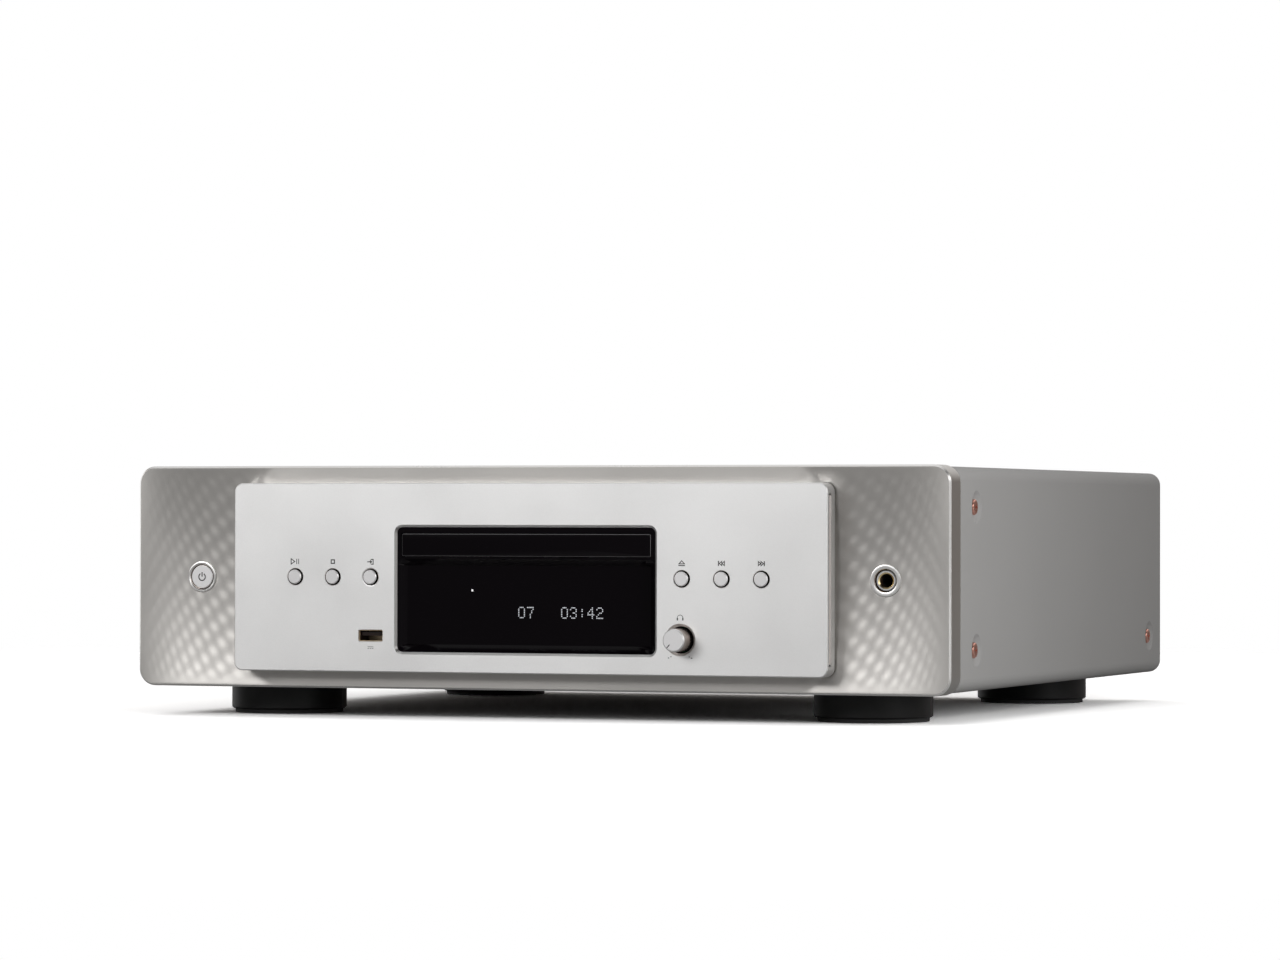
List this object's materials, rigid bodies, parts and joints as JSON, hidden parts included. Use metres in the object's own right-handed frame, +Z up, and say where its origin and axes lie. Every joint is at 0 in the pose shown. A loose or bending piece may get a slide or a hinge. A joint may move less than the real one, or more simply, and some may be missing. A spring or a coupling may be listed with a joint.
{
  "type": "cd player",
  "caption": "Full-width disc player with a motorised disc tray, display window, push buttons, volume knob, headphone and USB sockets, and rear outputs.",
  "frame": {"origin": "on the surface that the feet stand on, midway between the outermost points in X and in Y", "axes": "+Z up, +X to the right seen from the front, the front faces -Y"},
  "size_m": [0.442, 0.4356, 0.129],
  "materials": {
    "front_panel": "fine satin",
    "front_plate": "fine blasted",
    "light_guides": "translucent",
    "display_window": "polished",
    "display_module": "polished",
    "front_board": "solder mask",
    "tact_switches": "moulded",
    "power_ring": "turned",
    "headphone_ring": "turned",
    "headphone_bush": "gold plated",
    "headphone_jack": "moulded",
    "headphone_board": "solder mask",
    "power_switch_board": "solder mask",
    "usb_shell": "plated",
    "usb_tongue": "moulded",
    "level_potentiometer": "plated",
    "top_cover": "fine texture",
    "chassis_base": "zinc grey",
    "cover_screws": "copper plated",
    "foot_pads": "soft",
    "foot_screws": "zinc",
    "feet": "satin",
    "rear_panel": "satin black",
    "output_jacks": "gold plated",
    "jack_insulators": "moulded",
    "optical_socket": "moulded",
    "remote_jacks": "moulded",
    "ac_inlet": "moulded",
    "ac_pins": "plated",
    "rear_screws": "copper plated",
    "loading_motor": "plated can",
    "loading_belt": "smooth",
    "loader_frame": "moulded",
    "clamp_bridge": "zinc",
    "power_transformer": "potted",
    "power_board": "solder mask",
    "smoothing_capacitors": "sleeved",
    "main_board": "solder mask",
    "main_board_chips": "moulded",
    "ribbon_cables": "flat cable",
    "disc_tray": "moulded",
    "tray_front": "polished",
    "loading_gear": "acetal",
    "motor_pulley": "acetal",
    "deck_frame": "zinc",
    "guide_rods": "polished",
    "deck_motors": "plated can",
    "spindle_hub": "moulded",
    "laser_sled": "die cast",
    "objective_lens": "coated",
    "sled_gear": "acetal",
    "clamper": "moulded",
    "level_knob": "turned",
    "power_button": "turned",
    "button_play_pause": "turned",
    "button_stop": "turned",
    "button_input": "turned",
    "button_eject": "turned",
    "button_previous": "turned",
    "button_next": "turned"
  },
  "bodies": {
    "chassis": {"front_panel": "front_panel", "front_plate": "front_plate", "light_guides": "light_guides", "display_window": "display_window", "display_module": "display_module", "front_board": "front_board", "tact_switches": "tact_switches", "power_ring": "power_ring", "headphone_ring": "headphone_ring", "headphone_bush": "headphone_bush", "headphone_jack": "headphone_jack", "headphone_board": "headphone_board", "power_switch_board": "power_switch_board", "usb_shell": "usb_shell", "usb_tongue": "usb_tongue", "level_potentiometer": "level_potentiometer", "top_cover": "top_cover", "chassis_base": "chassis_base", "cover_screws": "cover_screws", "foot_pads": "foot_pads", "foot_screws": "foot_screws", "feet": "feet", "rear_panel": "rear_panel", "output_jacks": "output_jacks", "jack_insulators": "jack_insulators", "optical_socket": "optical_socket", "remote_jacks": "remote_jacks", "ac_inlet": "ac_inlet", "ac_pins": "ac_pins", "rear_screws": "rear_screws", "loading_motor": "loading_motor", "loading_belt": "loading_belt", "loader_frame": "loader_frame", "clamp_bridge": "clamp_bridge", "power_transformer": "power_transformer", "power_board": "power_board", "smoothing_capacitors": "smoothing_capacitors", "main_board": "main_board", "main_board_chips": "main_board_chips", "ribbon_cables": "ribbon_cables"},
    "tray": {"disc_tray": "disc_tray", "tray_front": "tray_front"},
    "loading_gear": {"loading_gear": "loading_gear"},
    "motor_pulley": {"motor_pulley": "motor_pulley"},
    "optical_deck": {"deck_frame": "deck_frame", "guide_rods": "guide_rods", "deck_motors": "deck_motors"},
    "spindle": {"spindle_hub": "spindle_hub"},
    "sled": {"laser_sled": "laser_sled", "objective_lens": "objective_lens"},
    "sled_gear": {"sled_gear": "sled_gear"},
    "clamper": {"clamper": "clamper"},
    "knob": {"level_knob": "level_knob"},
    "power_button": {"power_button": "power_button"},
    "button_play_pause": {"button_play_pause": "button_play_pause"},
    "button_stop": {"button_stop": "button_stop"},
    "button_input": {"button_input": "button_input"},
    "button_eject": {"button_eject": "button_eject"},
    "button_previous": {"button_previous": "button_previous"},
    "button_next": {"button_next": "button_next"}
  },
  "joints": [
    {"name": "tray_slide", "type": "slide", "parent": "chassis", "child": "tray", "axis": [0, -1, 0], "range_m": [0, 0.14]},
    {"name": "loading_gear_spin", "type": "hinge", "parent": "chassis", "child": "loading_gear", "pos_m": [-0.047, -0.1737, 0.08], "axis": [0, 0, 1], "range_deg": [-10, 680]},
    {"name": "motor_pulley_spin", "type": "hinge", "parent": "chassis", "child": "motor_pulley", "pos_m": [-0.013, -0.1737, 0.08], "axis": [0, 0, 1], "range_deg": [-10, 2100]},
    {"name": "deck_tilt", "type": "hinge", "parent": "chassis", "child": "optical_deck", "pos_m": [0, -0.032, 0.072], "axis": [1, 0, 0], "range_deg": [0, 6.5]},
    {"name": "spindle_spin", "type": "hinge", "parent": "optical_deck", "child": "spindle", "pos_m": [0, -0.1395, 0.088], "axis": [0, 0, 1], "continuous": true},
    {"name": "clamper_spin", "type": "hinge", "parent": "chassis", "child": "clamper", "pos_m": [0, -0.1395, 0.094], "axis": [0, 0, 1], "continuous": true},
    {"name": "sled_slide", "type": "slide", "parent": "optical_deck", "child": "sled", "axis": [0, 1, 0], "range_m": [0, 0.035]},
    {"name": "sled_gear_spin", "type": "hinge", "parent": "optical_deck", "child": "sled_gear", "pos_m": [0.0312, -0.082, 0.077], "axis": [0, 0, 1], "range_deg": [-290, 10]},
    {"name": "level_turn", "type": "hinge", "parent": "chassis", "child": "knob", "pos_m": [0.0837, -0.2, 0.0417], "axis": [0, 1, 0], "range_deg": [0, 300]},
    {"name": "button_play_pause_press", "type": "slide", "parent": "chassis", "child": "button_play_pause", "axis": [0, 1, 0], "range_m": [0, 0.001], "stiffness_N_per_m": 300, "springref_m": -0.002},
    {"name": "button_stop_press", "type": "slide", "parent": "chassis", "child": "button_stop", "axis": [0, 1, 0], "range_m": [0, 0.001], "stiffness_N_per_m": 300, "springref_m": -0.002},
    {"name": "button_input_press", "type": "slide", "parent": "chassis", "child": "button_input", "axis": [0, 1, 0], "range_m": [0, 0.001], "stiffness_N_per_m": 300, "springref_m": -0.002},
    {"name": "button_eject_press", "type": "slide", "parent": "chassis", "child": "button_eject", "axis": [0, 1, 0], "range_m": [0, 0.001], "stiffness_N_per_m": 300, "springref_m": -0.002},
    {"name": "button_previous_press", "type": "slide", "parent": "chassis", "child": "button_previous", "axis": [0, 1, 0], "range_m": [0, 0.001], "stiffness_N_per_m": 300, "springref_m": -0.002},
    {"name": "button_next_press", "type": "slide", "parent": "chassis", "child": "button_next", "axis": [0, 1, 0], "range_m": [0, 0.001], "stiffness_N_per_m": 300, "springref_m": -0.002},
    {"name": "power_press", "type": "slide", "parent": "chassis", "child": "power_button", "axis": [0, 1, 0], "range_m": [0, 0.0012], "stiffness_N_per_m": 350, "springref_m": -0.002}
  ],
  "couplings": [
    {"joint": "loading_gear_spin", "follows": "tray_slide", "rad_per_m": 83.333},
    {"joint": "motor_pulley_spin", "follows": "tray_slide", "rad_per_m": 259.39},
    {"joint": "clamper_spin", "follows": "spindle_spin", "ratio": 1},
    {"joint": "sled_gear_spin", "follows": "sled_slide", "rad_per_m": -138.89}
  ]
}
